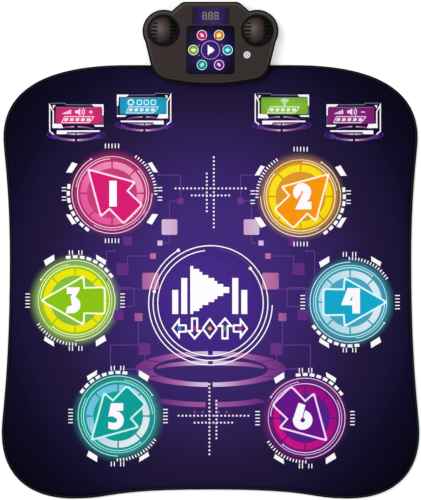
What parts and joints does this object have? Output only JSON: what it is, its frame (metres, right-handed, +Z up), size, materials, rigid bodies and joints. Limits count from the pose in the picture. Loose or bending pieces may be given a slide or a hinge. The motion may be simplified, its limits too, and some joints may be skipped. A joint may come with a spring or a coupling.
{
  "type": "light-up dance mat",
  "caption": "Padded light-up dance mat with printed arrow pads and oblong keys, clamped at its top edge in a plastic console with round speakers, a display and a picture panel.",
  "frame": {"origin": "middle of the whole object's footprint, on the floor", "axes": "+Z up from the floor, +Y towards the console's edge, +X to the right as the user reads the pads"},
  "size_m": [0.9, 1.0694, 0.04],
  "materials": {
    "dotted_rubber": "matt, with raised dots",
    "foam": "closed and open-cell foam",
    "polyester_film": "thin film with printed tracks",
    "printed_fabric": "soft-touch, printed",
    "binding_tape": "woven, stitched",
    "milky_acrylic": "milky, light-spreading",
    "moulded_plastic": "fine spark texture",
    "grille_plastic": "semi-gloss",
    "speaker_cone": "matt",
    "smoked_acrylic": "polished",
    "digit_module": "matt",
    "printed_acrylic": "printed behind",
    "white_baffle": "matt",
    "white_button": "semi-gloss",
    "silicone": "matt",
    "circuit_board": "solder mask",
    "cell_jacket": "satin",
    "nickel_strip": "bright",
    "zinc_plated_steel": "satin",
    "pad_1_print": "printed, soft-touch",
    "pad_2_print": "printed, soft-touch",
    "pad_3_print": "printed, soft-touch",
    "pad_4_print": "printed, soft-touch",
    "pad_5_print": "printed, soft-touch",
    "pad_6_print": "printed, soft-touch",
    "start_print": "printed, soft-touch",
    "volume_up_print": "printed, soft-touch",
    "mode_print": "printed, soft-touch",
    "wireless_print": "printed, soft-touch",
    "volume_down_print": "printed, soft-touch"
  },
  "bodies": {
    "mat": {"anti_slip_base": "dotted_rubber", "battery_cell_1": "cell_jacket", "battery_cell_2": "cell_jacket", "battery_cell_3": "cell_jacket", "button_return_sleeve": "silicone", "case_screw_1": "zinc_plated_steel", "case_screw_2": "zinc_plated_steel", "case_screw_3": "zinc_plated_steel", "case_screw_4": "zinc_plated_steel", "circuit_film": "polyester_film", "cover_sheet": "printed_fabric", "digit_display": "digit_module", "display_lens": "smoked_acrylic", "edge_binding": "binding_tape", "foam_core": "foam", "left_contact_plate": "nickel_strip", "left_grille": "grille_plastic", "left_speaker": "speaker_cone", "light_baffle": "white_baffle", "lower_shell": "moulded_plastic", "main_board": "circuit_board", "mode_return_frame": "foam", "pad_1_return_ring": "foam", "pad_2_return_ring": "foam", "pad_3_return_ring": "foam", "pad_4_return_ring": "foam", "pad_5_return_ring": "foam", "pad_6_return_ring": "foam", "panel_lens": "printed_acrylic", "right_contact_plate": "nickel_strip", "right_grille": "grille_plastic", "right_speaker": "speaker_cone", "spacer_foam": "foam", "start_return_ring": "foam", "upper_shell": "moulded_plastic", "volume_down_return_frame": "foam", "volume_up_return_frame": "foam", "wireless_return_frame": "foam"},
    "pad_1": {"pad_1_window": "pad_1_print", "pad_1_light_guide": "milky_acrylic"},
    "pad_2": {"pad_2_window": "pad_2_print", "pad_2_light_guide": "milky_acrylic"},
    "pad_3": {"pad_3_window": "pad_3_print", "pad_3_light_guide": "milky_acrylic"},
    "pad_4": {"pad_4_window": "pad_4_print", "pad_4_light_guide": "milky_acrylic"},
    "pad_5": {"pad_5_window": "pad_5_print", "pad_5_light_guide": "milky_acrylic"},
    "pad_6": {"pad_6_window": "pad_6_print", "pad_6_light_guide": "milky_acrylic"},
    "start": {"start_window": "start_print", "start_light_guide": "milky_acrylic"},
    "volume_up": {"volume_up_key": "volume_up_print"},
    "mode": {"mode_key": "mode_print"},
    "wireless": {"wireless_key": "wireless_print"},
    "volume_down": {"volume_down_key": "volume_down_print"},
    "power_button": {"power_button": "white_button"},
    "battery_door": {"battery_door": "moulded_plastic", "battery_door_screw": "zinc_plated_steel"}
  },
  "joints": [
    {"name": "pad_1_press", "type": "slide", "parent": "mat", "child": "pad_1", "axis": [0, 0, -1], "range_m": [0, 0.0012], "stiffness_N_per_m": 4000, "springref_m": -0.0006, "deforming": ["pad_1_return_ring"]},
    {"name": "pad_2_press", "type": "slide", "parent": "mat", "child": "pad_2", "axis": [0, 0, -1], "range_m": [0, 0.0012], "stiffness_N_per_m": 4000, "springref_m": -0.0006, "deforming": ["pad_2_return_ring"]},
    {"name": "pad_3_press", "type": "slide", "parent": "mat", "child": "pad_3", "axis": [0, 0, -1], "range_m": [0, 0.0012], "stiffness_N_per_m": 4000, "springref_m": -0.0006, "deforming": ["pad_3_return_ring"]},
    {"name": "pad_4_press", "type": "slide", "parent": "mat", "child": "pad_4", "axis": [0, 0, -1], "range_m": [0, 0.0012], "stiffness_N_per_m": 4000, "springref_m": -0.0006, "deforming": ["pad_4_return_ring"]},
    {"name": "pad_5_press", "type": "slide", "parent": "mat", "child": "pad_5", "axis": [0, 0, -1], "range_m": [0, 0.0012], "stiffness_N_per_m": 4000, "springref_m": -0.0006, "deforming": ["pad_5_return_ring"]},
    {"name": "pad_6_press", "type": "slide", "parent": "mat", "child": "pad_6", "axis": [0, 0, -1], "range_m": [0, 0.0012], "stiffness_N_per_m": 4000, "springref_m": -0.0006, "deforming": ["pad_6_return_ring"]},
    {"name": "start_press", "type": "slide", "parent": "mat", "child": "start", "axis": [0, 0, -1], "range_m": [0, 0.0012], "stiffness_N_per_m": 4000, "springref_m": -0.001, "deforming": ["start_return_ring"]},
    {"name": "volume_up_press", "type": "slide", "parent": "mat", "child": "volume_up", "axis": [0, 0, -1], "range_m": [0, 0.0012], "stiffness_N_per_m": 3000, "springref_m": -0.0004, "deforming": ["volume_up_return_frame"]},
    {"name": "mode_press", "type": "slide", "parent": "mat", "child": "mode", "axis": [0, 0, -1], "range_m": [0, 0.0012], "stiffness_N_per_m": 3000, "springref_m": -0.0004, "deforming": ["mode_return_frame"]},
    {"name": "wireless_press", "type": "slide", "parent": "mat", "child": "wireless", "axis": [0, 0, -1], "range_m": [0, 0.0012], "stiffness_N_per_m": 3000, "springref_m": -0.0004, "deforming": ["wireless_return_frame"]},
    {"name": "volume_down_press", "type": "slide", "parent": "mat", "child": "volume_down", "axis": [0, 0, -1], "range_m": [0, 0.0012], "stiffness_N_per_m": 3000, "springref_m": -0.0004, "deforming": ["volume_down_return_frame"]},
    {"name": "power_press", "type": "slide", "parent": "mat", "child": "power_button", "axis": [0, 0, -1], "range_m": [0, 0.001], "stiffness_N_per_m": 1500, "springref_m": -0.0004, "deforming": ["button_return_sleeve"]},
    {"name": "battery_door_hinge", "type": "hinge", "parent": "mat", "child": "battery_door", "pos_m": [0, 0.4657, 0.0007], "axis": [1, 0, 0], "range_deg": [0, 80]}
  ]
}
